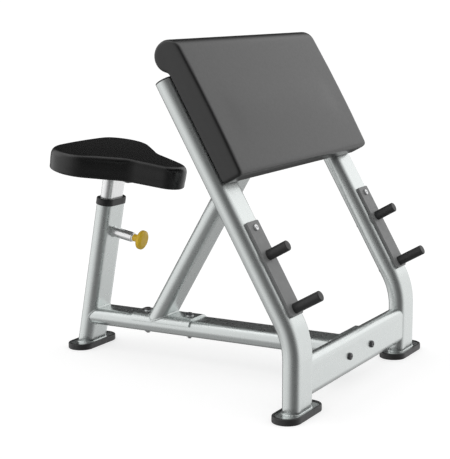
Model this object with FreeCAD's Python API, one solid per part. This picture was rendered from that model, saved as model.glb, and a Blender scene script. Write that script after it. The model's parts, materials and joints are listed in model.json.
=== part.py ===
"""Preacher curl bench: an arm pad on two leaning uprights, and a seat on a sliding stem.

Millimetres. +Z is up, +X points from the seat to the bar rests, and the floor is Z = 0.
Pieces are worked out about the uprights' axis and moved at the end, so that the origin
is on the floor under the middle of the whole bench.
"""
import FreeCAD
import Part
import math
import os

Vector = FreeCAD.Vector
X_AXIS = Vector(1, 0, 0)
Y_AXIS = Vector(0, 1, 0)
Z_AXIS = Vector(0, 0, 1)

# Clearances
fit_gap = 0.2
slide_gap = 0.3
hole_gap = 0.3

# Flat-oval tube of the uprights, the seat post and the brace
tube_width = 110.0
tube_depth = 50.0
tube_wall = 3.0

# Uprights
upright_lean = 30.0
bend_height = 201.5
bend_radius = 196.0
cap_thickness = 4.0
cap_plug_depth = 18.0

# Feet
foot_side_reach = 42.0
foot_front_reach = 14.5
foot_height = 18.0
foot_sole = 9.0
foot_rim = 6.0
foot_rounding = 3.0
foot_plate_thickness = 6.0

# Crossbeams between the uprights
crossbeam_width = 108.0
crossbeam_inset = 2.5
crossbeam_height = 93.5

# Base beam from the front crossbeam to the seat post
beam_side_inset = 2.0
beam_depth = 50.0
base_beam_height = 97.5

# Bolted flanges of the base beam and the brace
flange_height = 90.0
flange_thickness = 8.0
flange_corner = 12.0
flange_bolt_room = 22.0
flange_bolt_margin = 21.0

# Brace from the base beam to the upper crossbeam behind the pad
brace_ahead_of_post = 264.3
crossbeam_above_pad_edge = 123.0
saddle_thickness = 6.0
saddle_drop = 14.0
saddle_forward = 15.0
saddle_bolt_spacing = 144.0
saddle_bolt_margin = 28.0

# Bar rests on the uprights
rest_plate_width = 62.0
rest_plate_thickness = 8.0
rest_plate_corner = 5.0
rest_plate_lead = 2.0
lower_peg_margin = 18.0
peg_spacing = 150.0
rest_bolt_spacing = 78.0
rest_bolt_margin = 19.0
peg_diameter = 28.0
peg_rod_diameter = 16.0
peg_end_thickness = 5.0
peg_rounding = 3.0
upper_peg_length = 62.0
lower_peg_length = 82.0

# Arm pad, which sets how far apart the uprights stand and how long they are
pad_width = 800.0
pad_overhang = 45.0
pad_above_rest = 109.5
pad_length = 358.0
pad_thickness = 64.0
pad_edge_rounding = 8.0
pad_front_rounding = 11.0
pad_back_rounding = 11.0
pad_crown_radius = 4800.0
roll_radius = 42.5
roll_root_radius = 12.0
cap_below_roll = 0.5
pad_board_thickness = 15.0
pad_board_inset = 14.0
pad_board_below_roll = 53.0
pad_board_corner = 10.0
pad_bolt_margin = 50.0

# Seat post
post_distance = 876.3
post_lean = 10.0
post_length = 463.2
bush_depth = 80.0
collar_wall = 2.5
collar_skirt = 12.0
collar_top = 8.0
collar_rounding = 3.0

# Seat stem, with room between it and the inside of the post
stem_side_room = 7.0
stem_front_room = 3.0
stem_wall = 2.5
stem_show = 72.0
hole_spacing = 25.0
holes_below_pin = 4
holes_above_pin = 2
stem_end_margin = 40.0
shoe_height = 20.0
shoe_plug_depth = 20.0

# Pull pin
pin_below_bush = 15.5
pin_diameter = 12.0
pin_reach = 10.0
pin_nose = 2.0
pin_rod_diameter = 10.0
shoulder_gap = 0.5
shoulder_thickness = 4.0
shoulder_stand = 17.0
spring_wire = 1.6
spring_turns = 7
spring_inner_gap = 1.3
spring_outer_gap = 1.1
barrel_wall = 6.0
barrel_length = 69.0
end_bush_plug = 10.0
end_bush_flange = 3.0
end_bush_reach = 4.0

# Knob of the pull pin
knob_diameter = 58.0
knob_neck_diameter = 22.0
knob_neck_length = 14.0
knob_flare_length = 10.0
knob_rim = 9.0
knob_dome = 5.0
knob_grip_depth = 26.0

# Seat
seat_front = 234.0
seat_back = 141.0
seat_half_width = 197.5
seat_corner_radius = 87.0
seat_waist_to_tip = 138.0
seat_waist_radius = 86.0
seat_nose_angle = 17.5
seat_nose_radius = 55.0
seat_thickness = 66.0
seat_crown_radius = 4000.0
seat_top_rounding = 18.0
seat_bottom_rounding = 5.0
seat_board_thickness = 12.0
seat_board_inset = 14.0
seat_plate_thickness = 6.0
seat_plate_corner = 14.0
seat_bolt_spacing_x = 150.0
seat_bolt_spacing_y = 90.0
seat_bolt_margin = 20.0

# Fasteners: M8, M10 and M12
small_bolt = {"shank": 8.0, "head": 18.0, "height": 5.0, "socket": 5.0, "nut": 13.0, "nut_height": 6.5}
main_bolt = {"shank": 10.0, "head": 20.0, "height": 6.5, "socket": 6.0, "nut": 17.0, "nut_height": 8.0}
peg_stud = {"shank": 12.0, "nut": 19.0, "nut_height": 10.0}
bolt_tail = 3.0
washer_thickness = 2.0
washer_reach = 4.0
rivet_nut_wall = 1.6
rivet_nut_length = 16.0
rivet_nut_flange = 0.8
tee_nut_wall = 1.4
tee_nut_flange = 1.5
tee_nut_reach = 5.0


# Sizes that follow from the ones above
upright_spacing = pad_width - 2 * pad_overhang
crossbeam_depth = tube_depth - 2 * crossbeam_inset
beam_width = tube_width - 2 * beam_side_inset
flange_bolt_spacing = beam_width + 2 * flange_bolt_room
flange_width = flange_bolt_spacing + 2 * flange_bolt_margin
brace_distance = post_distance - brace_ahead_of_post
saddle_length = saddle_bolt_spacing + 2 * saddle_bolt_margin
stem_width = tube_width - 2 * tube_wall - 2 * stem_side_room
stem_depth = tube_depth - 2 * tube_wall - 2 * stem_front_room
spring_diameter = pin_rod_diameter + 2 * spring_inner_gap + spring_wire
barrel_bore = spring_diameter + spring_wire + 2 * spring_outer_gap
barrel_diameter = barrel_bore + 2 * barrel_wall
shoulder_diameter = barrel_bore - 2 * shoulder_gap
end_bush_diameter = barrel_bore + 2 * end_bush_reach
seat_plate_length = seat_bolt_spacing_x + 2 * seat_bolt_margin
seat_plate_width = seat_bolt_spacing_y + 2 * seat_bolt_margin

# Places worked out from the sizes
half_depth = tube_depth / 2
half_spacing = upright_spacing / 2
foot_top = foot_sole + foot_plate_thickness
bend_tangent = bend_radius * math.tan(math.radians(upright_lean / 2))
half_crossbeam = crossbeam_depth / 2
flange_back = -half_crossbeam - flange_thickness
saddle_top = base_beam_height + beam_depth / 2 + saddle_thickness

rest_plate_start = bend_tangent + rest_plate_lead
lower_peg_at = rest_plate_start + lower_peg_margin
upper_peg_at = lower_peg_at + peg_spacing
rest_bolt_at = upper_peg_at + rest_bolt_spacing
rest_plate_end = rest_bolt_at + rest_bolt_margin
rest_plate_face = half_depth + rest_plate_thickness

pad_start = rest_plate_end + pad_above_rest
pad_front = half_depth + pad_thickness
pad_back = half_depth + slide_gap
roll_at = pad_start + pad_length
roll_off = pad_front - roll_radius
root_off = pad_back - roll_root_radius
root_at = roll_at - math.sqrt((roll_radius + roll_root_radius) ** 2 - (roll_off - root_off) ** 2)
upright_slope = root_at - cap_below_roll - cap_thickness
upper_crossbeam_at = pad_start + crossbeam_above_pad_edge
board_start = pad_start + pad_board_inset
board_end = roll_at - pad_board_below_roll
board_front = half_depth + pad_board_thickness
pad_bolts_at = (board_start + pad_bolt_margin, board_end - pad_bolt_margin)

bush_bottom = post_length - bush_depth
pin_at = bush_bottom - pin_below_bush
stem_top = post_length + collar_top + stem_show
seat_base = stem_top + seat_plate_thickness
stem_bottom = pin_at - holes_below_pin * hole_spacing - stem_end_margin
barrel_end = half_depth + barrel_length
bush_end = barrel_end + end_bush_flange


# Frames of the leaning members: local Z runs along the member and local X points out of its front
def leaning(x, y, z, lean):
    return FreeCAD.Placement(Vector(x, y, z), FreeCAD.Rotation(Y_AXIS, lean))


def upright_frame(side):
    return leaning(0, side * half_spacing, bend_height, -upright_lean)


slope_frame = leaning(0, 0, bend_height, -upright_lean)
post_frame = leaning(-post_distance, 0, 0, post_lean)
brace_foot = Vector(-brace_distance, 0, saddle_top)
brace_rise = slope_frame.multVec(Vector(flange_back, 0, upper_crossbeam_at)) - brace_foot
brace_lean = math.degrees(math.atan2(brace_rise.x, brace_rise.z))
brace_frame = leaning(brace_foot.x, brace_foot.y, brace_foot.z, brace_lean)
beam_frame = leaning(0, 0, base_beam_height, -90)
across = FreeCAD.Placement(Vector(0, 0, 0), FreeCAD.Rotation(X_AXIS, -90))
facing_up = FreeCAD.Placement(Vector(0, 0, 0), FreeCAD.Rotation(Y_AXIS, -90))


def placed(shape, frame):
    moved = shape.copy()
    moved.Placement = frame.multiply(moved.Placement)
    return moved


# Basic shapes
def outline(length_x, length_y, corner):
    """Rounded rectangle about the origin, in the XY plane."""
    reach_x = length_x / 2 - corner
    reach_y = length_y / 2 - corner
    centres = ((reach_x, reach_y), (-reach_x, reach_y), (-reach_x, -reach_y), (reach_x, -reach_y))
    arcs = []
    for quarter, (x, y) in enumerate(centres):
        angles = [math.radians(90 * quarter + part) for part in (0, 45, 90)]
        points = [Vector(x + corner * math.cos(a), y + corner * math.sin(a), 0) for a in angles]
        arcs.append(points)
    edges = []
    for index, points in enumerate(arcs):
        before = arcs[index - 1][2]
        if (points[0] - before).Length > 1e-6:
            edges.append(Part.LineSegment(before, points[0]).toShape())
        edges.append(Part.Arc(*points).toShape())
    return Part.Wire(edges)


def bar(length_x, length_y, corner, low, high):
    """Rounded bar along Z, from low to high."""
    face = Part.Face(outline(length_x, length_y, corner))
    return face.extrude(Vector(0, 0, high - low)).translated(Vector(0, 0, low))


def oval_bar(width, depth, low, high):
    return bar(depth, width, depth / 2, low, high)


def oval_tube(width, depth, wall, low, high):
    inside = oval_bar(width - 2 * wall, depth - 2 * wall, low, high)
    return oval_bar(width, depth, low, high).cut(inside)


def face_plate(height, width, corner, start, end, z):
    """Rounded plate square to X, from start to end, about the height z."""
    flat = bar(height, width, corner, start, end)
    return flat.rotated(Vector(0, 0, 0), Y_AXIS, 90).translated(Vector(0, 0, z))


def rod(diameter, start, end, y=0.0, z=0.0):
    """Round rod along X."""
    low = min(start, end)
    return Part.makeCylinder(diameter / 2, abs(end - start), Vector(low, y, z), X_AXIS)


def ring(outer, bore, start, end, y=0.0, z=0.0):
    return rod(outer, start, end, y, z).cut(rod(bore, start, end, y, z))


def hexagon(across_flats, start, end, y=0.0, z=0.0):
    """Six-sided bar along X."""
    corner = across_flats / math.sqrt(3)
    angles = [math.radians(60 * step) for step in range(7)]
    points = [Vector(start, y + corner * math.cos(a), z + corner * math.sin(a)) for a in angles]
    return Part.Face(Part.makePolygon(points)).extrude(Vector(end - start, 0, 0))


def turned(profile):
    """Solid turned about X from (x, radius) points joined by straight lines."""
    points = [Vector(x, 0, radius) for x, radius in profile]
    face = Part.Face(Part.makePolygon(points + [points[0]]))
    return face.revolve(Vector(0, 0, 0), X_AXIS, 360)


def rounded(shape, radius, is_chosen):
    edges = [edge for edge in shape.Edges if is_chosen(edge.BoundBox)]
    return shape.makeFillet(radius, edges)


def joined(shapes):
    return shapes[0].fuse(shapes[1:]).removeSplitter()


def group(shapes):
    return Part.makeCompound(shapes)


# Fasteners along X; the head or nut faces away from the tip
def button_bolt(size, seat, tip, y=0.0, z=0.0):
    away = 1 if seat > tip else -1
    top = seat + away * size["height"]
    head = rod(size["head"], seat, top, y, z)
    dome = size["height"] * 0.6
    head = rounded(head, dome, lambda box: abs(box.XMin - top) < 1e-3 and abs(box.XMax - top) < 1e-3)
    socket = hexagon(size["socket"], top, top - away * size["height"] * 0.5, y, z)
    return joined([head.cut(socket), rod(size["shank"], seat, tip, y, z)])


def hex_nut(size, seat, away, y=0.0, z=0.0):
    end = seat + away * size["nut_height"]
    return hexagon(size["nut"], seat, end, y, z).cut(rod(size["shank"] + fit_gap, seat, end, y, z))


def washer(size, seat, away, y=0.0, z=0.0):
    bore = size["shank"] + 2 * hole_gap
    outer = max(size.get("head", 0), size["nut"] * 2 / math.sqrt(3)) + washer_reach
    return ring(outer, bore, seat, seat + away * washer_thickness, y, z)


def rivet_nut_body(size):
    return size["shank"] + 2 * fit_gap + 2 * rivet_nut_wall


def rivet_nut(size, seat, inward, y=0.0, z=0.0):
    """Threaded sleeve clinched in a tube wall whose inner face is at seat."""
    body = rivet_nut_body(size)
    wall_end = seat - inward * tube_wall
    sleeve = rod(body, wall_end, seat + inward * rivet_nut_length, y, z)
    bulge = rod(body + 4 * rivet_nut_flange, seat, seat + inward * tube_wall, y, z)
    bore = rod(size["shank"] + fit_gap, wall_end, seat + inward * rivet_nut_length, y, z)
    return joined([sleeve, bulge]).cut(bore)


def tee_nut_body(size):
    return size["shank"] + fit_gap + 2 * tee_nut_wall


def tee_nut(size, back, front, y=0.0, z=0.0):
    """Flanged sleeve let into a board from its front face."""
    body = tee_nut_body(size)
    sleeve = rod(body, back, front, y, z)
    flange = rod(body + 2 * tee_nut_reach, front - tee_nut_flange, front, y, z)
    return joined([sleeve, flange]).cut(rod(size["shank"] + fit_gap, back, front, y, z))


def tee_nut_hole(size, back, front, y=0.0, z=0.0):
    body = tee_nut_body(size)
    sleeve = rod(body + 2 * fit_gap, back, front, y, z)
    flange = rod(body + 2 * tee_nut_reach + 2 * fit_gap, front - tee_nut_flange, front, y, z)
    return sleeve.fuse(flange)


def clear_hole(size, start, end, y=0.0, z=0.0):
    return rod(size["shank"] + 2 * hole_gap, start, end, y, z)


# Uprights
def upright_body(width, depth, side):
    """Solid flat-oval bar: straight up, round the bend, then leaning back."""
    arc_start = bend_height - bend_tangent
    standing = leaning(0, side * half_spacing, 0, 0)
    lower = placed(oval_bar(width, depth, foot_top, arc_start), standing)
    section = Part.Face(outline(depth, width, depth / 2))
    section = placed(section, leaning(0, side * half_spacing, arc_start, 0))
    centre = Vector(-bend_radius, 0, arc_start)
    bend = section.revolve(centre, Vector(0, -1, 0), upright_lean)
    upper = placed(oval_bar(width, depth, bend_tangent, upright_slope), upright_frame(side))
    return joined([lower, bend, upper])


def upright_holes():
    """Holes for the bar rest and the arm pad, in the upright's leaning frame."""
    through = half_depth + tube_wall
    holes = [clear_hole(peg_stud, -through, through, 0, at) for at in (lower_peg_at, upper_peg_at)]
    holes += [clear_hole(small_bolt, -through, through, 0, at) for at in pad_bolts_at]
    holes.append(rod(rivet_nut_body(small_bolt) + fit_gap, 0, through, 0, rest_bolt_at))
    return holes


def upright(side, body):
    inside = upright_body(tube_width - 2 * tube_wall, tube_depth - 2 * tube_wall, side)
    holes = [placed(hole, upright_frame(side)) for hole in upright_holes()]
    return body.cut(inside).cut(holes)


def end_cap(side):
    plug_width = tube_width - 2 * tube_wall - 2 * fit_gap
    plug_depth = tube_depth - 2 * tube_wall - 2 * fit_gap
    plug = oval_bar(plug_width, plug_depth, upright_slope - cap_plug_depth, upright_slope)
    top = oval_bar(tube_width, tube_depth, upright_slope, upright_slope + cap_thickness)
    rim = upright_slope + cap_thickness
    top = rounded(top, cap_thickness / 2, lambda box: box.ZMin > rim - 1e-3)
    return placed(joined([plug, top]), upright_frame(side))


# Feet
def foot(x, y):
    length = tube_width + 2 * foot_side_reach
    width = tube_depth + 2 * foot_front_reach
    boot = oval_bar(length, width, 0, foot_height)
    boot = rounded(boot, foot_rounding, lambda box: box.ZLength < 1e-3)
    pocket = oval_bar(length - 2 * foot_rim, width - 2 * foot_rim, foot_sole, foot_height)
    return boot.cut(pocket).translated(Vector(x, y, 0))


def foot_plate(x, y):
    length = tube_width + 2 * foot_side_reach - 2 * foot_rim - 2 * fit_gap
    width = tube_depth + 2 * foot_front_reach - 2 * foot_rim - 2 * fit_gap
    return oval_bar(length, width, foot_sole, foot_top).translated(Vector(x, y, 0))


# Crossbeams and base beam
def crossbeam(frame, upright_bodies):
    beam = oval_tube(crossbeam_width, crossbeam_depth, tube_wall, -half_spacing, half_spacing)
    return placed(placed(beam, across), frame).cut(upright_bodies)


def front_crossbeam(upright_bodies):
    reach = crossbeam_depth
    holes = [clear_hole(main_bolt, -reach, reach, y, crossbeam_height) for y in flange_bolt_places()]
    return crossbeam(leaning(0, 0, crossbeam_height, 0), upright_bodies).cut(holes)


def flange_bolt_places():
    return (-flange_bolt_spacing / 2, flange_bolt_spacing / 2)


def flange(z):
    """Plate behind a crossbeam, square to X."""
    plate = face_plate(flange_height, flange_width, flange_corner, flange_back, -half_crossbeam, z)
    holes = [clear_hole(main_bolt, flange_back, -half_crossbeam, y, z) for y in flange_bolt_places()]
    return plate.cut(holes)


def base_beam(post_body):
    end = post_distance - base_beam_height * math.tan(math.radians(post_lean))
    beam = oval_tube(beam_width, beam_depth, tube_wall, half_crossbeam + flange_thickness, end)
    beam = beam.cut(saddle_bolt_holes(-beam_depth, beam_depth))
    return placed(beam, beam_frame).cut(post_body)


def front_fasteners():
    """Bolts through the front crossbeam and the base beam's flange, with washers and nuts."""
    nut_seat = flange_back - washer_thickness
    tip = nut_seat - main_bolt["nut_height"] - bolt_tail
    places = flange_bolt_places()
    height = crossbeam_height
    return {
        "crossbeam_bolts": group([button_bolt(main_bolt, half_crossbeam, tip, y, height) for y in places]),
        "crossbeam_washers": group([washer(main_bolt, flange_back, -1, y, height) for y in places]),
        "crossbeam_nuts": group([hex_nut(main_bolt, nut_seat, -1, y, height) for y in places]),
    }


# Brace
def saddle_places():
    centre = brace_distance - saddle_forward
    return (centre - saddle_bolt_spacing / 2, centre + saddle_bolt_spacing / 2)


def saddle_bolt_holes(start, end):
    return [clear_hole(main_bolt, start, end, 0, at) for at in saddle_places()]


def saddle_body():
    """Solid bar of the saddle's outline over the base beam, in the beam's frame."""
    start = brace_distance - saddle_forward - saddle_length / 2
    width = beam_width + 2 * saddle_thickness
    return oval_bar(width, beam_depth + 2 * saddle_thickness, start, start + saddle_length)


def saddle():
    body = saddle_body()
    start = body.BoundBox.ZMin
    beam = oval_bar(beam_width + 2 * fit_gap, beam_depth, start, start + saddle_length)
    edge = beam_depth / 2 - saddle_drop
    below = Part.makeBox(2 * beam_depth, 2 * beam_width, saddle_length)
    below.translate(Vector(edge - 2 * beam_depth, -beam_width, start))
    shell = body.cut([beam, below]).cut(saddle_bolt_holes(0, beam_depth))
    return placed(shell, beam_frame)


def saddle_fasteners():
    seat = beam_depth / 2 + saddle_thickness
    under = -beam_depth / 2
    nut_seat = under - washer_thickness
    tip = nut_seat - main_bolt["nut_height"] - bolt_tail
    places = saddle_places()
    bolts = [button_bolt(main_bolt, seat + washer_thickness, tip, 0, at) for at in places]
    washers = [washer(main_bolt, seat, 1, 0, at) for at in places]
    washers += [washer(main_bolt, under, -1, 0, at) for at in places]
    nuts = [hex_nut(main_bolt, nut_seat, -1, 0, at) for at in places]
    pieces = {"saddle_bolts": bolts, "saddle_washers": washers, "saddle_nuts": nuts}
    return {name: placed(group(shapes), beam_frame) for name, shapes in pieces.items()}


def brace(saddle_solid):
    low = -(saddle_top - base_beam_height) / math.cos(math.radians(brace_lean))
    tube = placed(oval_tube(tube_width, tube_depth, tube_wall, low, upright_slope + bend_height), brace_frame)
    beyond = Part.makeBox(4 * upright_slope, 4 * tube_width, 4 * upright_slope)
    beyond.translate(Vector(flange_back, -2 * tube_width, -2 * upright_slope))
    return tube.cut([placed(beyond, slope_frame), saddle_solid])


def brace_fasteners():
    """Bolts of the brace's top flange, and the rivet nuts in the crossbeam's rear wall."""
    tip = -half_crossbeam + rivet_nut_length
    inner_wall = -half_crossbeam + tube_wall
    places = [(y, upper_crossbeam_at) for y in flange_bolt_places()]
    bolts = [button_bolt(main_bolt, flange_back, tip, y, z) for y, z in places]
    nuts = [rivet_nut(main_bolt, inner_wall, 1, y, z) for y, z in places]
    pieces = {"brace_flange_bolts": bolts, "brace_rivet_nuts": nuts}
    return {name: placed(group(shapes), slope_frame) for name, shapes in pieces.items()}


def upper_crossbeam(upright_bodies):
    frame = slope_frame.multiply(FreeCAD.Placement(Vector(0, 0, upper_crossbeam_at), FreeCAD.Rotation()))
    hole = rivet_nut_body(main_bolt) + fit_gap
    holes = [rod(hole, -crossbeam_depth, 0, y, upper_crossbeam_at) for y in flange_bolt_places()]
    return crossbeam(frame, upright_bodies).cut([placed(shape, slope_frame) for shape in holes])


# Bar rests
def rest_plate(side):
    middle = (rest_plate_start + rest_plate_end) / 2
    height = rest_plate_end - rest_plate_start
    plate = face_plate(height, rest_plate_width, rest_plate_corner, half_depth, rest_plate_face, middle)
    holes = [clear_hole(peg_stud, half_depth, rest_plate_face, 0, at) for at in (lower_peg_at, upper_peg_at)]
    holes.append(clear_hole(small_bolt, half_depth, rest_plate_face, 0, rest_bolt_at))
    return placed(plate.cut(holes), upright_frame(side))


def peg_rod(length, at):
    """Rod of a peg, with its stud through the plate and the upright."""
    end = rest_plate_face + length - peg_end_thickness
    tip = -half_depth - washer_thickness - peg_stud["nut_height"] - bolt_tail
    thick = rod(peg_rod_diameter, rest_plate_face, end, 0, at)
    return joined([thick, rod(peg_stud["shank"], tip, rest_plate_face, 0, at)])


def peg_sleeve(length, at):
    end = rest_plate_face + length
    sleeve = rod(peg_diameter, rest_plate_face, end, 0, at)
    sleeve = rounded(sleeve, peg_rounding, lambda box: box.XMin > end - 1e-3)
    return sleeve.cut(rod(peg_rod_diameter + 2 * fit_gap, rest_plate_face, end - peg_end_thickness, 0, at))


def bar_rest(side, name):
    pegs = ((lower_peg_length, lower_peg_at), (upper_peg_length, upper_peg_at))
    nut_seat = -half_depth - washer_thickness
    inner_wall = half_depth - tube_wall
    bolt_tip = inner_wall - rivet_nut_length
    pieces = {
        "peg_rods": [peg_rod(length, at) for length, at in pegs],
        "peg_sleeves": [peg_sleeve(length, at) for length, at in pegs],
        "peg_washers": [washer(peg_stud, -half_depth, -1, 0, at) for length, at in pegs],
        "peg_nuts": [hex_nut(peg_stud, nut_seat, -1, 0, at) for length, at in pegs],
        "rest_bolt": [button_bolt(small_bolt, rest_plate_face, bolt_tip, 0, rest_bolt_at)],
        "rest_rivet_nut": [rivet_nut(small_bolt, inner_wall, -1, 0, rest_bolt_at)],
    }
    nodes = {name + "_rest_plate": rest_plate(side)}
    for piece, shapes in pieces.items():
        nodes[name + "_" + piece] = placed(group(shapes), upright_frame(side))
    return nodes


# Arm pad
def pad_profile():
    """Side outline of the pad with its rolled upper edge; X is out of the slope and Z along it."""
    roll = Vector(roll_off, 0, roll_at)
    front_corner = Vector(pad_front - pad_front_rounding, 0, pad_start + pad_front_rounding)
    back_corner = Vector(pad_back + pad_back_rounding, 0, pad_start + pad_back_rounding)

    # The crowned front is one large arc that runs smoothly into the roll and the front corner
    to_corner = crown_direction(front_corner, pad_front_rounding, roll, roll_radius)
    crown = front_corner - to_corner * (pad_crown_radius - pad_front_rounding)
    to_roll = (roll - crown).normalize()
    front_low = front_corner + to_corner * pad_front_rounding
    front_high = roll + to_roll * roll_radius

    # The root arc eases the roll into the flat back
    root = Vector(root_off, 0, root_at)
    meet = roll + (root - roll).normalize() * roll_radius
    root_end = root + X_AXIS * roll_root_radius
    roll_top = roll + Z_AXIS * roll_radius
    roll_back = roll - X_AXIS * roll_radius
    back_low = back_corner - X_AXIS * pad_back_rounding
    back_end = back_corner - Z_AXIS * pad_back_rounding
    front_end = front_corner - Z_AXIS * pad_front_rounding
    edges = [
        Part.LineSegment(root_end, back_low).toShape(),
        arc_about(back_corner, back_low, back_end),
        Part.LineSegment(back_end, front_end).toShape(),
        arc_about(front_corner, front_end, front_low),
        arc_about(crown, front_low, front_high),
        arc_about(roll, front_high, roll_top),
        arc_about(roll, roll_top, roll_back),
        arc_about(roll, roll_back, meet),
        arc_about(root, meet, root_end),
    ]
    return Part.Wire(edges)


def arc_about(centre, first, last):
    """Shorter arc about centre from first to last."""
    halfway = (first - centre) + (last - centre)
    middle = centre + halfway.normalize() * (first - centre).Length
    return Part.Arc(first, middle, last).toShape()


def crown_direction(low, low_radius, high, high_radius):
    """Direction from the crown's far centre to the lower of the two circles that its arc touches."""
    low_reach = pad_crown_radius - low_radius
    high_reach = pad_crown_radius - high_radius
    apart = high - low
    share = (apart.Length ** 2 + low_reach ** 2 - high_reach ** 2) / (2 * apart.Length)
    along = apart * (1 / apart.Length)
    outward = Vector(along.z, 0, -along.x)
    centre = low + along * share - outward * math.sqrt(low_reach ** 2 - share ** 2)
    return (low - centre).normalize()


def pad_board():
    middle = (board_start + board_end) / 2
    width = pad_width - 2 * pad_board_inset
    return face_plate(board_end - board_start, width, pad_board_corner, half_depth, board_front, middle)


def pad_bolt_places():
    return [(side * half_spacing, at) for side in (1, -1) for at in pad_bolts_at]


def pad_cushion():
    half_width = pad_width / 2
    body = Part.Face(pad_profile()).extrude(Vector(0, pad_width, 0)).translated(Vector(0, -half_width, 0))
    body = rounded(body, pad_edge_rounding, lambda box: box.YLength < 1e-3)
    middle = (board_start + board_end) / 2
    width = pad_width - 2 * pad_board_inset + 2 * slide_gap
    height = board_end - board_start + 2 * slide_gap
    pocket = face_plate(height, width, pad_board_corner, 0, board_front, middle)
    return placed(body.cut(pocket), slope_frame)


def arm_pad():
    places = pad_bolt_places()
    back = half_depth + bolt_tail
    head_seat = -half_depth - washer_thickness
    board = pad_board().cut([tee_nut_hole(small_bolt, half_depth, board_front, y, z) for y, z in places])
    pieces = {
        "arm_pad_board": [board],
        "arm_pad_bolts": [button_bolt(small_bolt, head_seat, board_front, y, z) for y, z in places],
        "arm_pad_washers": [washer(small_bolt, -half_depth, -1, y, z) for y, z in places],
        "arm_pad_tee_nuts": [tee_nut(small_bolt, back, board_front, y, z) for y, z in places],
    }
    nodes = {name: placed(group(shapes), slope_frame) for name, shapes in pieces.items()}
    nodes["arm_pad_cushion"] = pad_cushion()
    return nodes


# Seat post with its bush
def post_body():
    solid = placed(oval_bar(tube_width, tube_depth, -tube_depth, post_length), post_frame)
    return solid.cut(under_foot_plates())


def under_foot_plates():
    size = 4 * tube_width
    return Part.makeBox(size, size, size, Vector(-post_distance - size / 2, -size / 2, foot_top - size))


def seat_post(body):
    inside = oval_bar(tube_width - 2 * tube_wall, tube_depth - 2 * tube_wall, -tube_depth, post_length)
    hole = rod(pin_diameter + 2 * hole_gap, 0, tube_depth, 0, pin_at)
    return body.cut([placed(inside, post_frame), placed(hole, post_frame)])


def post_bush():
    """Plastic sleeve in the post's mouth, with a collar over its edge."""
    sleeve_width = tube_width - 2 * tube_wall - 2 * fit_gap
    sleeve_depth = tube_depth - 2 * tube_wall - 2 * fit_gap
    sleeve = oval_bar(sleeve_width, sleeve_depth, bush_bottom, post_length)
    mouth_width = tube_width + 2 * fit_gap
    mouth_depth = tube_depth + 2 * fit_gap
    top = post_length + collar_top
    low = post_length - collar_skirt
    collar = oval_bar(mouth_width + 2 * collar_wall, mouth_depth + 2 * collar_wall, low, top)
    collar = rounded(collar, collar_rounding, lambda box: box.ZMin > top - 1e-3)
    mouth = oval_bar(mouth_width, mouth_depth, low, post_length)
    passage = oval_bar(stem_width + 2 * slide_gap, stem_depth + 2 * slide_gap, bush_bottom, top)
    return placed(joined([collar.cut(mouth), sleeve]).cut(passage), post_frame)


# Pull pin with its barrel and spring
def pin_barrel():
    return placed(ring(barrel_diameter, barrel_bore, half_depth, barrel_end, 0, pin_at), post_frame)


def pin_end_bush():
    plug = rod(barrel_bore - 2 * fit_gap, barrel_end - end_bush_plug, barrel_end, 0, pin_at)
    cover = rod(end_bush_diameter, barrel_end, bush_end, 0, pin_at)
    bore = rod(pin_rod_diameter + 2 * hole_gap, half_depth, bush_end, 0, pin_at)
    return placed(joined([plug, cover]).cut(bore), post_frame)


shoulder_at = half_depth + shoulder_stand
spring_start = shoulder_at + shoulder_thickness + fit_gap
spring_end = barrel_end - end_bush_plug - fit_gap


def helix_point(turn, start, pitch):
    angle = 2 * math.pi * turn
    radius = spring_diameter / 2
    return Vector(start + pitch * turn, radius * math.cos(angle), pin_at + radius * math.sin(angle))


def helix_way(turn, pitch):
    angle = 2 * math.pi * turn
    radius = spring_diameter / 2
    way = Vector(pitch / (2 * math.pi), -radius * math.sin(angle), radius * math.cos(angle))
    return way.normalize()


def tangent_arc(start, way, end):
    """Arc from start, leaving along way, to end."""
    chord = end - start
    along = chord.dot(way) / chord.Length
    aside = way - chord * (along / chord.Length)
    rise = chord.Length / 2 * math.tan(math.acos(min(1, along)) / 2)
    middle = (start + end) * 0.5 + aside.normalize() * rise
    return Part.Arc(start, middle, end).toShape()


def biarc(start, first_way, end, last_way):
    """Two arcs that join start to end and keep both directions."""
    chord = end - start
    turn = 1 - first_way.dot(last_way)
    lean = chord.dot(first_way + last_way)
    reach = (math.sqrt(lean ** 2 + 2 * turn * chord.dot(chord)) - lean) / (2 * turn)
    meet = (start + end + (first_way - last_way) * reach) * 0.5
    meet_way = (end - last_way * reach - start - first_way * reach).normalize()
    return [tangent_arc(start, first_way, meet), tangent_arc(meet, meet_way, end)]


def pin_spring():
    """Coil between the pin's shoulder and the end bush, one unbroken wire."""
    start = spring_start + spring_wire / 2
    pitch = (spring_end - spring_start - spring_wire) / spring_turns
    quarters = spring_turns * 4
    edges = []
    for quarter in range(quarters):
        first = quarter / 4
        last = (quarter + 1) / 4
        edges += biarc(
            helix_point(first, start, pitch),
            helix_way(first, pitch),
            helix_point(last, start, pitch),
            helix_way(last, pitch),
        )
    path = Part.Wire(edges)
    end_ring = Part.Wire(Part.makeCircle(spring_wire / 2, helix_point(0, start, pitch), helix_way(0, pitch)))
    coil = path.makePipeShell([end_ring], True, False)
    print("spring turns lie", round(pitch - spring_wire, 2), "mm apart")
    return placed(coil, post_frame)


def pull_pin():
    tip = stem_depth / 2 - pin_reach
    end = bush_end + slide_gap + knob_grip_depth - fit_gap
    profile = [
        (tip, 0),
        (tip, pin_diameter / 2 - pin_nose),
        (tip + pin_nose, pin_diameter / 2),
        (shoulder_at, pin_diameter / 2),
        (shoulder_at, shoulder_diameter / 2),
        (shoulder_at + shoulder_thickness, shoulder_diameter / 2),
        (shoulder_at + shoulder_thickness, pin_rod_diameter / 2),
        (end, pin_rod_diameter / 2),
        (end, 0),
    ]
    return placed(turned(profile).translated(Vector(0, 0, pin_at)), post_frame)


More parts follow.
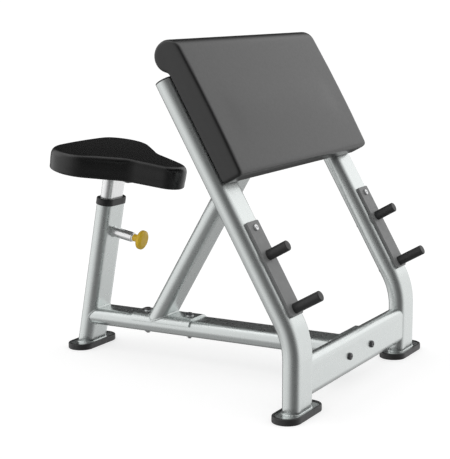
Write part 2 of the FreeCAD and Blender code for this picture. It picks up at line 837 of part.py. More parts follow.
def pull_knob():
    """Flared knob that rests against the end bush."""
    start = bush_end + slide_gap
    flare = start + knob_neck_length
    rim = flare + knob_flare_length
    face = rim + knob_rim
    neck = knob_neck_diameter / 2
    edge = knob_diameter / 2
    profile = [
        (start, 0),
        (start, neck),
        (flare, neck),
        (rim, edge),
        (face, edge),
        (face + knob_dome, edge - 2 * knob_dome),
        (face + knob_dome, 0),
    ]
    knob = turned(profile)
    knob = rounded(knob, knob_rim / 3, lambda box: box.XLength < 1e-3 and box.XMin > rim - 1e-3)
    bore = rod(pin_rod_diameter + fit_gap, start, start + knob_grip_depth)
    return placed(knob.cut(bore).translated(Vector(0, 0, pin_at)), post_frame)


# Seat stem
def seat_stem():
    stem = oval_tube(stem_width, stem_depth, stem_wall, stem_bottom, stem_top)
    steps = range(-holes_below_pin, holes_above_pin + 1)
    bore = pin_diameter + 2 * hole_gap
    holes = [rod(bore, 0, stem_depth, 0, pin_at + step * hole_spacing) for step in steps]
    return placed(stem.cut(holes), post_frame)


def stem_shoe():
    """Plastic guide on the stem's lower end, running inside the post."""
    width = tube_width - 2 * tube_wall - 2 * slide_gap
    depth = tube_depth - 2 * tube_wall - 2 * slide_gap
    guide = oval_bar(width, depth, stem_bottom - shoe_height, stem_bottom)
    plug_width = stem_width - 2 * stem_wall - 2 * fit_gap
    plug_depth = stem_depth - 2 * stem_wall - 2 * fit_gap
    plug = oval_bar(plug_width, plug_depth, stem_bottom, stem_bottom + shoe_plug_depth)
    return placed(joined([guide, plug]), post_frame)


# Seat
def seat_outline(inset):
    """Plan of the seat, X to its nose, drawn in by inset: broad back, waist and round nose."""
    nose = math.radians(seat_nose_angle)
    nose_out = Vector(math.sin(nose), math.cos(nose), 0)
    nose_centre = Vector(seat_front - seat_nose_radius, 0, 0)
    corner_centre = Vector(seat_corner_radius - seat_back, seat_half_width - seat_corner_radius, 0)

    # The flank runs from the point where the nose's side ends, touching the round rear corner
    side_reach = nose_centre.dot(nose_out) + seat_nose_radius
    waist_x = seat_front - seat_waist_to_tip
    waist = Vector(waist_x, (side_reach - waist_x * nose_out.x) / nose_out.y, 0)
    back = corner_centre - waist
    flank = math.atan2(back.y, back.x) - math.acos(-seat_corner_radius / back.Length)
    flank_out = Vector(math.cos(flank), math.sin(flank), 0)
    nose_radius = seat_nose_radius - inset
    corner_radius = seat_corner_radius - inset
    waist_radius = seat_waist_radius + inset

    # The waist's arc stands outside both straight sides, as far from each as its own radius
    nose_reach = side_reach + seat_waist_radius
    flank_reach = corner_centre.dot(flank_out) + seat_corner_radius + seat_waist_radius
    spread = nose_out.x * flank_out.y - nose_out.y * flank_out.x
    waist_centre = Vector(
        (nose_reach * flank_out.y - flank_reach * nose_out.y) / spread,
        (nose_out.x * flank_reach - flank_out.x * nose_reach) / spread,
        0,
    )
    corner_middle = (flank_out - X_AXIS).normalize()
    waist_middle = (flank_out + nose_out).normalize()
    points = [
        corner_centre - X_AXIS * corner_radius,
        corner_centre + corner_middle * corner_radius,
        corner_centre + flank_out * corner_radius,
        waist_centre - flank_out * waist_radius,
        waist_centre - waist_middle * waist_radius,
        waist_centre - nose_out * waist_radius,
        nose_centre + nose_out * nose_radius,
    ]
    other = [Vector(point.x, -point.y, 0) for point in points]
    tip = nose_centre + X_AXIS * nose_radius

    def half(side):
        return [
            Part.Arc(side[0], side[1], side[2]).toShape(),
            Part.LineSegment(side[2], side[3]).toShape(),
            Part.Arc(side[3], side[4], side[5]).toShape(),
            Part.LineSegment(side[5], side[6]).toShape(),
        ]

    nose_arc = Part.Arc(points[6], tip, other[6]).toShape()
    back_line = Part.LineSegment(other[0], points[0]).toShape()
    return Part.Wire(Part.__sortEdges__(half(points) + [nose_arc] + half(other) + [back_line]))


def seat_slab(inset, low, high):
    face = Part.Face(seat_outline(inset))
    return face.extrude(Vector(0, 0, high - low)).translated(Vector(0, 0, low))


def seat_cushion():
    """Crowned cushion with rounded edges, over the board that it wraps."""
    top = seat_base + seat_thickness
    middle = (seat_front - seat_back) / 2
    crown = Part.makeSphere(seat_crown_radius, Vector(middle, 0, top - seat_crown_radius))
    body = seat_slab(0, seat_base + slide_gap, top).common(crown)
    body = rounded(body, seat_top_rounding, lambda box: box.ZMin > seat_base + seat_thickness / 2)
    body = rounded(body, seat_bottom_rounding, lambda box: box.ZMax < seat_base + slide_gap + 1e-3)
    pocket = seat_slab(seat_board_inset - slide_gap, seat_base, seat_base + seat_board_thickness)
    return placed(body.cut(pocket), post_frame)


def seat_bolt_places():
    return [(sx * seat_bolt_spacing_x / 2, sy * seat_bolt_spacing_y / 2) for sx in (1, -1) for sy in (1, -1)]


def seat():
    """Board, plate and fasteners under the cushion; the fasteners point up along the stem."""
    places = [(y, -x) for x, y in seat_bolt_places()]
    board_top = seat_base + seat_board_thickness
    holes = [tee_nut_hole(small_bolt, seat_base, board_top, y, z) for y, z in places]
    board = seat_slab(seat_board_inset, seat_base, board_top)
    board = board.cut([placed(hole, facing_up) for hole in holes])
    plate = bar(seat_plate_length, seat_plate_width, seat_plate_corner, stem_top, seat_base)
    clear = [clear_hole(small_bolt, stem_top, seat_base, y, z) for y, z in places]
    plate = plate.cut([placed(hole, facing_up) for hole in clear])
    back = seat_base + bolt_tail
    bolts = [button_bolt(small_bolt, stem_top, board_top, y, z) for y, z in places]
    nuts = [tee_nut(small_bolt, back, board_top, y, z) for y, z in places]
    return {
        "seat_board": placed(board, post_frame),
        "seat_plate": placed(plate, post_frame),
        "seat_bolts": placed(placed(group(bolts), facing_up), post_frame),
        "seat_tee_nuts": placed(placed(group(nuts), facing_up), post_frame),
        "seat_cushion": seat_cushion(),
        "seat_stem": seat_stem(),
        "stem_shoe": stem_shoe(),
    }


def build():
    """Every node by name, about the uprights' axis."""
    sides = {"left": 1, "right": -1}
    bodies = {name: upright_body(tube_width, tube_depth, side) for name, side in sides.items()}
    both = list(bodies.values())
    nodes = {}
    for name, side in sides.items():
        nodes[name + "_upright"] = upright(side, bodies[name])
        nodes[name + "_end_cap"] = end_cap(side)
        nodes[name + "_foot"] = foot(0, side * half_spacing)
        nodes[name + "_foot_plate"] = foot_plate(0, side * half_spacing)
        nodes.update(bar_rest(side, name))
    rear_foot_x = rear_foot_place()
    nodes["rear_foot"] = foot(rear_foot_x, 0)
    nodes["rear_foot_plate"] = foot_plate(rear_foot_x, 0)

    nodes["front_crossbeam"] = front_crossbeam(both)
    nodes["upper_crossbeam"] = upper_crossbeam(both)
    nodes["base_flange"] = flange(crossbeam_height)
    nodes.update(front_fasteners())

    post = post_body()
    nodes["base_beam"] = base_beam(post)
    nodes["seat_post"] = seat_post(post)
    nodes["post_bush"] = post_bush()
    nodes["brace_saddle"] = saddle()
    nodes.update(saddle_fasteners())
    nodes["brace"] = brace(placed(saddle_body(), beam_frame))
    nodes["brace_flange"] = placed(flange(upper_crossbeam_at), slope_frame)
    nodes.update(brace_fasteners())

    nodes["pin_barrel"] = pin_barrel()
    nodes["pin_end_bush"] = pin_end_bush()
    nodes["pin_spring"] = pin_spring()
    nodes["pull_pin"] = pull_pin()
    nodes["pull_knob"] = pull_knob()
    nodes.update(arm_pad())
    nodes.update(seat())
    return nodes


def rear_foot_place():
    return -post_distance + foot_top * math.tan(math.radians(post_lean))


def main():
    nodes = build()
    boxes = [shape.optimalBoundingBox() for shape in nodes.values()]
    middle = (min(box.XMin for box in boxes) + max(box.XMax for box in boxes)) / 2
    os.makedirs("parts", exist_ok=True)
    for name, shape in nodes.items():
        shape.translated(Vector(-middle, 0, 0)).exportStep("parts/" + name + ".step")
    print("uprights' axis stands at X =", round(-middle, 4))


main()
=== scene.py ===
"""Looks of the preacher curl bench: finishes, stuffed cushions, weld beads, a spring, light and camera.

Metres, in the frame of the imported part: +X from the seat to the bar rests, +Z up, floor at Z = 0.
"""
import bmesh
import bpy
import json
import math
from mathutils import Matrix, Vector
from mathutils.bvhtree import BVHTree
from mathutils.kdtree import KDTree


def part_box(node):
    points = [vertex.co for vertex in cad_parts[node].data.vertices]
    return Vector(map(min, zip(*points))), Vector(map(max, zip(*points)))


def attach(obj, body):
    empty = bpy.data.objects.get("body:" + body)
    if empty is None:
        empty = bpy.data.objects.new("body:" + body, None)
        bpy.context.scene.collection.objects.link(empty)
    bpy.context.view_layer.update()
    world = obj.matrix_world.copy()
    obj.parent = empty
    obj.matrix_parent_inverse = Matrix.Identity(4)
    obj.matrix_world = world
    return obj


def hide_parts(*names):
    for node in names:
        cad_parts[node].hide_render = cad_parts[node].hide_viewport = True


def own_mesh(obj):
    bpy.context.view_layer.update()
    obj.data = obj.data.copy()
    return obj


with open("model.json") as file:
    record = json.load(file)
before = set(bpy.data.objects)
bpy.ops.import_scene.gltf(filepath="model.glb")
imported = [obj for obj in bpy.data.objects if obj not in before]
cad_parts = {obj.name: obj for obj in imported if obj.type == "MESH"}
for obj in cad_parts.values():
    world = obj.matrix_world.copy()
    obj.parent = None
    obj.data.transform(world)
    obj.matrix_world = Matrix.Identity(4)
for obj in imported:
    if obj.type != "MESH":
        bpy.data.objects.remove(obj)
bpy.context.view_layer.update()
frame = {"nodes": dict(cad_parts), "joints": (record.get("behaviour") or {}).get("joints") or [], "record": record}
nodes = frame["nodes"]
joints = {joint["name"]: joint for joint in frame["joints"]}
scene = bpy.context.scene

# Camera that matches the photograph: place in metres, angles in degrees, lens and sensor in millimetres
camera_place = (1.87255, -3.36466, 1.06452)
camera_tilt = 9.8786
camera_turn = 28.8466
camera_lens = 106.32
camera_sensor = 36.0

# Sizes of the part that the added pieces follow
tube_width = 0.110
tube_depth = 0.050
beam_width = 0.106
crossbeam_width = 0.108
crossbeam_depth = 0.045
barrel_diameter = 0.030
flange_thickness = 0.008
saddle_forward = 0.015
upright_lean = math.radians(30)
bend_height = 0.2015
seat_plate_above_post = 0.080
seat_plate_thickness = 0.006
pad_board_thickness = 0.015
pad_thickness = 0.064
seat_board_thickness = 0.012
seat_thickness = 0.066

# Range that most of a noise texture's values lie in
noise_low = 0.3
noise_high = 0.7

# Cushion covers: mesh sizes, the turn that counts as an edge, and the cloth that is blown up
cover_size = 0.003
cloth_size = 0.006
join_distance = 0.00001
seam_turn = math.radians(10)
cloth_frames = 20
cloth_pressure = 4.0
cloth_quality = 5
cloth_mass = 0.4
cloth_stretch = 25
cloth_bend = 2
crown_evenings = 40
near_points = 6
least_distance = 0.001

# Heights above a cushion's board where the cover starts to swell, swells freely and is filled out
swell_start = 0.002
swell_free = 0.015
filled_height = 0.02

# Weld beads: one point in three stands out, and a member is followed from inside it to the face it meets
weld_radius = 0.0026
weld_step = 0.002
weld_sides = 2
weld_ripple = 0.16
ripple_points = 3
above_plate = 0.1
below_post_top = 0.2

# Floor, and the light on the object and in what the camera sees
floor_radius = 400.0
floor_sides = 96
floor_grey = 0.45
floor_glow = 0.65
object_light = 0.85
seen_light = 1.0

# What reflections see of the studio, by compass direction in degrees: white walls and two dark panels
wall_levels = ((-180, 1.0), (-125, 0.97), (-100, 0.72), (-78, 0.34), (-55, 0.13), (-25, 0.09), (-8, 0.15),
               (6, 0.36), (21, 0.66), (38, 0.98), (94, 1.0), (103, 0.2), (109, 0.04), (145, 0.04), (157, 0.5),
               (168, 1.0), (180, 1.0))
ground_level = 0.2
ground_share = 0.2
horizon_start = -0.22
horizon_end = -0.56

# Softboxes: name, place, width, height and watts
lamp_target = (0, 0, 0.4)
softboxes = (("right_box", (1.1, 3.0, 1.7), 2.4, 2.0, 4),
             ("left_box", (-3.2, -1.4, 2.4), 2.4, 2.4, 5),
             ("top_box", (-0.8, -0.6, 3.6), 2.6, 2.6, 10))


# Directions and places of the leaning members
def middle(node):
    low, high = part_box(node)
    return (low + high) / 2


across_bench = Vector((0, 1, 0))
seat_slide = joints["seat_slide"]
post_along = Vector(seat_slide["axis"])
post_top = Vector(seat_slide["pos_m"])
pin_slide = joints["pull_pin_slide"]
pin_along = Vector(pin_slide["axis"])
pin_place = Vector(pin_slide["pos_m"])
slope_out = Vector((math.cos(upright_lean), 0, math.sin(upright_lean)))
slope_along = Vector((-math.sin(upright_lean), 0, math.cos(upright_lean)))
slope_base = Vector((middle("left_foot").x, 0, bend_height))


# Node helpers
def new_material(name, **sockets):
    """Principled material whose constant values are set on the shader's own sockets."""
    material = bpy.data.materials.new(name)
    material.use_nodes = True
    shader = shader_of(material)
    for socket, value in sockets.items():
        shader.inputs[socket.replace("_", " ")].default_value = value
    return material


def shader_of(material):
    return material.node_tree.nodes["Principled BSDF"]


def link(material, output, socket):
    """Join an output to a socket of the material's shader."""
    material.node_tree.links.new(output, shader_of(material).inputs[socket])


def worked_out(tree, operation, *values):
    """Output of a math node on numbers and other outputs."""
    node = tree.nodes.new("ShaderNodeMath")
    node.operation = operation
    for socket, value in zip(node.inputs, values):
        if isinstance(value, float):
            socket.default_value = value
        else:
            tree.links.new(value, socket)
    return node.outputs[0]


def mapped(tree, value, start, end, low=0.0, high=1.0, easing="LINEAR"):
    """Output that goes from low to high as the value goes from start to end."""
    node = tree.nodes.new("ShaderNodeMapRange")
    node.interpolation_type = easing
    for socket, number in (("From Min", start), ("From Max", end), ("To Min", low), ("To Max", high)):
        node.inputs[socket].default_value = number
    tree.links.new(value, node.inputs["Value"])
    return node.outputs["Result"]


def mixed(tree, share, first, last):
    node = tree.nodes.new("ShaderNodeMix")
    tree.links.new(share, node.inputs["Factor"])
    tree.links.new(first, node.inputs["A"])
    tree.links.new(last, node.inputs["B"])
    return node.outputs["Result"]


def texture(material, kind, scale, stretch=(1, 1, 1)):
    """Texture node in the piece's own metres, with about scale features per metre."""
    tree = material.node_tree
    place = tree.nodes.new("ShaderNodeTexCoord")
    mapping = tree.nodes.new("ShaderNodeMapping")
    mapping.inputs["Scale"].default_value = [scale * share for share in stretch]
    node = tree.nodes.new(kind)
    node.inputs["Scale"].default_value = 1.0
    tree.links.new(place.outputs["Object"], mapping.inputs["Vector"])
    tree.links.new(mapping.outputs["Vector"], node.inputs["Vector"])
    return node


def noise(material, scale, stretch=(1, 1, 1), detail=3.0):
    node = texture(material, "ShaderNodeTexNoise", scale, stretch)
    node.inputs["Detail"].default_value = detail
    return node.outputs["Fac"]


def cells(material, scale):
    """Height that rises from the borders of small cells, as in grained vinyl."""
    node = texture(material, "ShaderNodeTexVoronoi", scale)
    node.feature = "DISTANCE_TO_EDGE"
    return node.outputs["Distance"]


def ranged(material, value, low, high):
    """Noise, which mostly lies near its middle, spread from low to high."""
    return mapped(material.node_tree, value, noise_low, noise_high, low, high)


def coloured(material, value, dark, light):
    node = material.node_tree.nodes.new("ShaderNodeMix")
    node.data_type = "RGBA"
    colours = [socket for socket in node.inputs if socket.type == "RGBA"]
    colours[0].default_value = (*dark, 1)
    colours[1].default_value = (*light, 1)
    material.node_tree.links.new(ranged(material, value, 0, 1), node.inputs[0])
    link(material, next(socket for socket in node.outputs if socket.type == "RGBA"), "Base Color")


def roughened(material, value, smooth, rough):
    link(material, ranged(material, value, smooth, rough), "Roughness")


def bumped(material, height, depth):
    node = material.node_tree.nodes.new("ShaderNodeBump")
    node.inputs["Distance"].default_value = depth
    material.node_tree.links.new(height, node.inputs["Height"])
    link(material, node.outputs["Normal"], "Normal")


# Finishes
def plain_finish(name, dark, light, spots, smooth, rough, patches, grain=0, depth=0, pattern=noise,
                 **sockets):
    """Spots of colour, patches of gloss and, for most, a grain of some depth, each counted per metre."""
    material = new_material(name, **sockets)
    coloured(material, noise(material, spots), dark, light)
    roughened(material, noise(material, patches), smooth, rough)
    if grain:
        bumped(material, pattern(material, grain), depth)
    return material


def rubber(name):
    return plain_finish(name, (0.025, 0.025, 0.0255), (0.033, 0.033, 0.0335), spots=200,
                        smooth=0.36, rough=0.46, patches=90, grain=1600, depth=0.00006,
                        Specular_IOR_Level=0.45)


def vinyl(name, dark, light, smooth, rough, gloss):
    """Grained upholstery vinyl with a faint cloudiness."""
    return plain_finish(name, dark, light, spots=55, smooth=smooth, rough=rough, patches=130,
                        grain=1200, depth=0.00002, pattern=cells, Specular_IOR_Level=gloss)


def chrome():
    """Bright plated steel with faint drawn lines."""
    material = new_material("chrome", Metallic=0.85)
    coloured(material, noise(material, scale=25), dark=(0.95, 0.955, 0.96), light=(0.98, 0.98, 0.985))
    roughened(material, noise(material, scale=120, stretch=(1, 1, 0.15)), smooth=0.2, rough=0.26)
    return material


def stained_plywood():
    """Black-stained board with the grain still showing."""
    material = new_material("stained_plywood", Specular_IOR_Level=0.35)
    grain = noise(material, scale=260, stretch=(1, 0.05, 1), detail=6.0)
    coloured(material, grain, dark=(0.014, 0.013, 0.012), light=(0.035, 0.031, 0.027))
    roughened(material, grain, smooth=0.55, rough=0.75)
    bumped(material, grain, depth=0.0002)
    return material


# One finish for each material slot of the record
finishes = {
    "silver_paint": plain_finish("silver_paint", (0.675, 0.708, 0.70), (0.705, 0.738, 0.73), spots=1800,
                                 smooth=0.26, rough=0.3, patches=40, grain=260, depth=0.000002,
                                 Metallic=0.92, Coat_Weight=0.15, Coat_Roughness=0.15),
    "grey_paint": plain_finish("grey_paint", (0.190, 0.193, 0.193), (0.213, 0.216, 0.216), spots=900,
                               smooth=0.38, rough=0.48, patches=60, grain=1500, depth=0.00005, Metallic=0.1),
    "dark_bolt": plain_finish("dark_bolt", (0.09, 0.09, 0.093), (0.14, 0.14, 0.145), spots=400,
                              smooth=0.3, rough=0.42, patches=300, Metallic=0.6),
    "zinc": plain_finish("zinc", (0.66, 0.67, 0.68), (0.78, 0.785, 0.79), spots=350,
                         smooth=0.22, rough=0.36, patches=260, grain=1200, depth=0.00003, Metallic=1.0),
    "foot_rubber": rubber("foot_rubber"),
    "peg_rubber": rubber("peg_rubber"),
    "black_plastic": plain_finish("black_plastic", (0.012, 0.012, 0.0125), (0.02, 0.02, 0.021), spots=150,
                                  smooth=0.3, rough=0.4, patches=110, grain=2200, depth=0.00003),
    "chrome": chrome(),
    "pad_vinyl": vinyl("pad_vinyl", (0.010, 0.010, 0.0102), (0.0125, 0.0125, 0.0127),
                       smooth=0.3, rough=0.36, gloss=0.62),
    "seat_vinyl": vinyl("seat_vinyl", (0.0040, 0.0040, 0.0041), (0.0060, 0.0060, 0.0061),
                        smooth=0.24, rough=0.3, gloss=0.6),
    "plywood": stained_plywood(),
    "knob": plain_finish("knob_plastic", (0.90, 0.57, 0.03), (0.96, 0.64, 0.04), spots=120,
                         smooth=0.3, rough=0.4, patches=160, grain=1800, depth=0.00003),
}


def paint(mesh, slot):
    mesh.materials.clear()
    mesh.materials.append(finishes[slot])


def dress_nodes():
    """Give every CAD node the finish of its slot in the record."""
    for subpart in frame["record"]["subparts"]:
        paint(nodes[subpart["node"]].data, subpart["material_slot"])


dress_nodes()

# The tubes don't mirror the small bright knob
nodes["pull_knob"].visible_glossy = False


# Mesh helpers
def added(name, data):
    """New object in the scene."""
    piece = bpy.data.objects.new(name, data)
    scene.collection.objects.link(piece)
    return piece


def surface_of(mesh):
    return BVHTree.FromPolygons([vertex.co for vertex in mesh.vertices],
                                [face.vertices for face in mesh.polygons])


def evaluated_mesh(piece):
    depsgraph = bpy.context.evaluated_depsgraph_get()
    return bpy.data.meshes.new_from_object(piece.evaluated_get(depsgraph))


def apply_modifiers(piece):
    made = evaluated_mesh(piece)
    piece.modifiers.clear()
    piece.data = made


def dress_piece(piece, body, slot):
    """Smooth shading and the slot's finish, on a piece that rides on a body."""
    piece.data.polygons.foreach_set("use_smooth", [True] * len(piece.data.polygons))
    paint(piece.data, slot)
    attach(piece, body)


# Cushions
def facing(origin, out):
    """Frame with local Z along out and local Y across the bench."""
    out = out.normalized()
    ahead = across_bench.cross(out)
    return Matrix.Translation(origin) @ Matrix((ahead, across_bench, out)).transposed().to_4x4()


pad_frame = facing(slope_base + slope_out * (tube_depth / 2), slope_out)
seat_frame = facing(post_top + post_along * (seat_plate_above_post + seat_plate_thickness), post_along)


def ramp(value, start, end):
    share = min(1, max(0, (value - start) / (end - start)))
    return share * share * (3 - 2 * share)


def even_copy(name, node, place, size):
    """New object with an even mesh over the node's own surface, in the cushion's frame."""
    drawn = nodes[node].data.copy()
    drawn.transform(place.inverted())
    surface = surface_of(drawn)
    piece = added(name, drawn)
    join = piece.modifiers.new("join", "WELD")
    join.merge_threshold = join_distance
    remesh = piece.modifiers.new("remesh", "REMESH")
    remesh.mode = "VOXEL"
    remesh.voxel_size = size
    apply_modifiers(piece)
    for vertex in piece.data.vertices:
        vertex.co = surface.find_nearest(vertex.co)[0]
    piece.data.update()
    return piece


def seam_distances(mesh):
    """How far each point is from the nearest edge of the cushion, where the cover turns sharply."""
    normals = [vertex.normal.copy() for vertex in mesh.vertices]
    sharp = set()
    for edge in mesh.edges:
        first, last = edge.vertices
        if normals[first].angle(normals[last], 0) > seam_turn:
            sharp.update((first, last))
    tree = KDTree(len(sharp))
    for index in sharp:
        tree.insert(mesh.vertices[index].co, index)
    tree.balance()
    return [tree.find(vertex.co)[2] for vertex in mesh.vertices]


def evened(mesh, values, repeats):
    """Values at the points of a mesh, each averaged with its neighbours' again and again."""
    for repeat in range(repeats):
        sums = list(values)
        counts = [1] * len(values)
        for edge in mesh.edges:
            first, last = edge.vertices
            sums[first] += values[last]
            sums[last] += values[first]
            counts[first] += 1
            counts[last] += 1
        values = [total / count for total, count in zip(sums, counts)]
    return values


def blown_up(cloth_piece, free):
    """Mesh of a cloth under pressure, where each point is as free as its share says."""
    held = cloth_piece.vertex_groups.new(name="held")
    for index, share in enumerate(free):
        held.add([index], 1 - share, "REPLACE")
    cloth = cloth_piece.modifiers.new("cloth", "CLOTH")
    cloth.settings.quality = cloth_quality
    cloth.settings.mass = cloth_mass
    cloth.settings.tension_stiffness = cloth_stretch
    cloth.settings.compression_stiffness = cloth_stretch
    cloth.settings.bending_stiffness = cloth_bend
    cloth.settings.vertex_group_mass = "held"
    cloth.settings.use_pressure = True
    cloth.settings.uniform_pressure_force = cloth_pressure
    cloth.settings.effector_weights.gravity = 0
    cloth.collision_settings.use_collision = False
    cloth.point_cache.frame_end = cloth_frames
    for step in range(1, cloth_frames + 1):
        scene.frame_set(step)
    return evaluated_mesh(cloth_piece)


def crown(cloth_piece, board, reach, rise):
    """Points of a cover and how far each moves as it is blown up between its edges, up to the given rise."""
    mesh = cloth_piece.data
    starts = [vertex.co.copy() for vertex in mesh.vertices]
    normals = [vertex.normal.copy() for vertex in mesh.vertices]
    free = [ramp(distance, 0, reach) * ramp(start.z, board + swell_start, board + swell_free)
            for distance, start in zip(seam_distances(mesh), starts)]
    swollen = blown_up(cloth_piece, free)
    heights = [max(0, (after.co - start).dot(normal))
               for start, normal, after in zip(starts, normals, swollen.vertices)]
    heights = evened(mesh, heights, crown_evenings)
    scale = min(1, rise / max(heights))
    scene.frame_set(1)
    return starts, [normal * height * scale for normal, height in zip(normals, heights)]


def carry_moves(piece, starts, moves):
    """Move a finer mesh as the cloth's nearest points moved."""
    tree = KDTree(len(starts))
    for index, start in enumerate(starts):
        tree.insert(start, index)
    tree.balance()
    for vertex in piece.data.vertices:
        near = tree.find_n(vertex.co, near_points)
        weights = [1 / (distance + least_distance) ** 2 for place, index, distance in near]
        total = sum(weights)
        shift = Vector()
        for weight, (place, index, distance) in zip(weights, near):
            shift += moves[index] * (weight / total)
        vertex.co += shift
    piece.data.update()


def fill_out(piece, board, fuller, lift, top):
    """Let the stuffing push the cover out all round, and up, above the board that it is fixed to."""
    normals = [vertex.normal.copy() for vertex in piece.data.vertices]
    for vertex, normal in zip(piece.data.vertices, normals):
        height = vertex.co.z
        vertex.co += normal * fuller * ramp(height, board, board + filled_height)
        vertex.co.z += lift * ramp(height, board, top)
    piece.data.update()


def soften_edges(piece, repeats):
    smooth = piece.modifiers.new("smooth", "SMOOTH")
    smooth.iterations = repeats
    apply_modifiers(piece)


def cushion(name, node, body, slot, place, board, top, fuller, lift, soft_edge, reach, rise):
    """Stuffed cover in place of a cushion's solid, crowned by a cloth simulation."""
    piece = even_copy(name, node, place, cover_size)
    cloth_piece = even_copy(name + "_cloth", node, place, cloth_size)
    starts, moves = crown(cloth_piece, board, reach, rise)
    bpy.data.objects.remove(cloth_piece)
    carry_moves(piece, starts, moves)
    fill_out(piece, board, fuller, lift, top)
    soften_edges(piece, soft_edge)
    piece.data.transform(place)
    dress_piece(piece, body, slot)
    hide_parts(node)


cushion("arm_pad_cover", "arm_pad_cushion", "frame", "pad_vinyl", pad_frame,
        board=pad_board_thickness, top=pad_thickness, fuller=0.0006, lift=0, soft_edge=13,
        reach=0.12, rise=0.003)
cushion("seat_cover", "seat_cushion", "seat", "seat_vinyl", seat_frame,
        board=seat_board_thickness, top=seat_thickness, fuller=0.0012, lift=0.003, soft_edge=4,
        reach=0.05, rise=0.008)


# Weld beads
def oval_points(width, depth):
    """Points all round a flat oval, a weld step apart."""
    radius = depth / 2
    straight = width - depth
    half_way = straight + math.pi * radius
    count = round(2 * half_way / weld_step)
    points = []
    for index in range(count):
        run = 2 * half_way * index / count
        side = 1 if run < half_way else -1
        run = run % half_way
        if run < straight:
            place = (run - straight / 2, -radius)
        else:
            angle = (run - straight) / radius - math.pi / 2
            place = (straight / 2 + radius * math.cos(angle), radius * math.sin(angle))
        points.append((side * place[0], side * place[1]))
    return points


def weld(name, start, along, width, depth, target, across=across_bench):
    """Rippled bead where a flat-oval member, followed along its length, meets the face of a node."""
    front = across.cross(along)
    surface = surface_of(nodes[target].data)
    hits = [surface.ray_cast(start + across * u + front * v, along)[0] for u, v in oval_points(width, depth)]
    hits = [hit for hit in hits if hit]
    curve = bpy.data.curves.new(name, "CURVE")
    curve.dimensions = "3D"
    curve.bevel_depth = weld_radius
    curve.bevel_resolution = weld_sides
    spline = curve.splines.new("POLY")
    spline.points.add(len(hits) - 1)
    spline.use_cyclic_u = True
    for index, (point, hit) in enumerate(zip(spline.points, hits)):
        stands_out = index % ripple_points == 0
        point.co = (*hit, 1)
        point.radius = 1 + weld_ripple * (1 if stands_out else -1 / (ripple_points - 1))
    line = added(name + "_line", curve)
    bead = added(name, evaluated_mesh(line))
    bpy.data.objects.remove(line)
    dress_piece(bead, "frame", "silver_paint")


def make_welds():
    up = Vector((0, 0, 1))
    ahead = Vector((1, 0, 0))
    for side, outward in (("left", across_bench), ("right", -across_bench)):
        plate = side + "_foot_plate"
        weld(side + "_foot_weld", middle(plate) + up * above_plate, -up, tube_width, tube_depth, plate)
        weld(side + "_upper_weld", middle("upper_crossbeam"), outward, crossbeam_width, crossbeam_depth,
             side + "_upright", slope_along)
    weld("rear_foot_weld", post_top - post_along * below_post_top, -post_along, tube_width, tube_depth,
         "rear_foot_plate")
    beam = middle("base_beam")
    weld("beam_post_weld", beam, -ahead, beam_width, tube_depth, "seat_post")
    weld("beam_flange_weld", beam, ahead, beam_width, tube_depth, "base_flange")
    brace_foot = middle("brace_saddle") - ahead * saddle_forward
    brace_foot.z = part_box("brace_saddle")[1].z
    brace_top = middle("brace_flange") - slope_out * (flange_thickness / 2)
    brace_along = (brace_top - brace_foot).normalized()
    brace_middle = (brace_foot + brace_top) / 2
    weld("brace_top_weld", brace_middle, brace_along, tube_width, tube_depth, "brace_flange")
    weld("brace_foot_weld", brace_middle, -brace_along, tube_width, tube_depth, "brace_saddle")
    weld("barrel_weld", pin_place, -pin_along, barrel_diameter, barrel_diameter, "seat_post")


make_welds()


# Spring in the pin's barrel
def make_spring():
    """Copy of the spring that rides on the frame in place of the node."""
    spring = added("pressed_spring", nodes["pin_spring"].data.copy())
    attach(spring, "frame")
    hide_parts("pin_spring")
    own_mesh(spring)


make_spring()


# Floor, light and camera
def light_path_mask(tree):
    """1 for rays that show the background itself: straight, mirrored or seen through glass."""
    path = tree.nodes.new("ShaderNodeLightPath")
    either = worked_out(tree, "MAXIMUM", path.outputs["Is Camera Ray"], path.outputs["Is Glossy Ray"])
    return worked_out(tree, "MAXIMUM", either, path.outputs["Is Transmission Ray"])


def make_floor():
    """Pale disc that shows as white and keeps the object's shadow."""
    mesh = bpy.data.meshes.new("floor")
    shape = bmesh.new()
    bmesh.ops.create_circle(shape, cap_ends=True, segments=floor_sides, radius=floor_radius)
    shape.to_mesh(mesh)
    shape.free()
    material = new_material("floor", Base_Color=(floor_grey, floor_grey, floor_grey, 1), Roughness=0.9,
                            Specular_IOR_Level=0.0, Emission_Color=(1, 1, 1, 1))
    tree = material.node_tree
    link(material, worked_out(tree, "MULTIPLY", light_path_mask(tree), floor_glow), "Emission Strength")
    mesh.materials.append(material)
    floor = added("floor", mesh)
    floor.visible_glossy = False


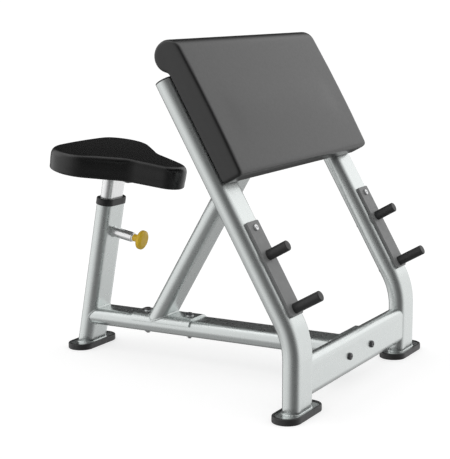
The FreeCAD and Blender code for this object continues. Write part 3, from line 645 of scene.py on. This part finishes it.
def studio_level(tree):
    """Brightness by direction: the walls all round, and a greyer ground below them."""
    place = tree.nodes.new("ShaderNodeTexCoord")
    split = tree.nodes.new("ShaderNodeSeparateXYZ")
    tree.links.new(place.outputs["Generated"], split.inputs["Vector"])
    turn = worked_out(tree, "ARCTAN2", split.outputs["Y"], split.outputs["X"])
    walls = tree.nodes.new("ShaderNodeValToRGB")
    stops = walls.color_ramp.elements
    while len(stops) < len(wall_levels):
        stops.new(0.5)
    for stop, (degrees, level) in zip(stops, wall_levels):
        stop.position = (degrees + 180) / 360
        stop.color = (level, level, level, 1)
    tree.links.new(mapped(tree, turn, -math.pi, math.pi), walls.inputs["Fac"])
    ground = worked_out(tree, "MULTIPLY_ADD", walls.outputs["Color"], ground_share, ground_level)
    below = mapped(tree, split.outputs["Z"], horizon_start, horizon_end, easing="SMOOTHSTEP")
    return mixed(tree, below, walls.outputs["Color"], ground)


def make_world():
    """White surroundings, a softer level of the same light on the object, and the studio in reflections."""
    world = bpy.data.worlds.new("studio")
    scene.world = world
    world.use_nodes = True
    tree = world.node_tree
    background = tree.nodes["Background"]
    background.inputs["Color"].default_value = (1, 1, 1, 1)
    path = tree.nodes.new("ShaderNodeLightPath")
    seen = mapped(tree, light_path_mask(tree), 0, 1, object_light, seen_light)
    level = mixed(tree, path.outputs["Is Glossy Ray"], seen, studio_level(tree))
    tree.links.new(level, background.inputs["Strength"])
    world.cycles.sampling_method = "NONE"


def softbox(name, place, width, height, power):
    lamp = bpy.data.lights.new(name, "AREA")
    lamp.shape = "RECTANGLE"
    lamp.size = width
    lamp.size_y = height
    lamp.energy = power
    box = added(name, lamp)
    box.location = place
    box.rotation_euler = (Vector(lamp_target) - Vector(place)).to_track_quat("-Z", "Y").to_euler()


def make_camera():
    lens = bpy.data.cameras.new("camera")
    lens.lens = camera_lens
    lens.sensor_width = camera_sensor
    lens.clip_end = 2 * floor_radius
    camera = added("camera", lens)
    camera.location = camera_place
    camera.rotation_euler = (math.radians(90 - camera_tilt), 0, math.radians(camera_turn))
    scene.camera = camera


make_floor()
make_world()
for box in softboxes:
    softbox(*box)
make_camera()
scene.view_settings.view_transform = "Standard"
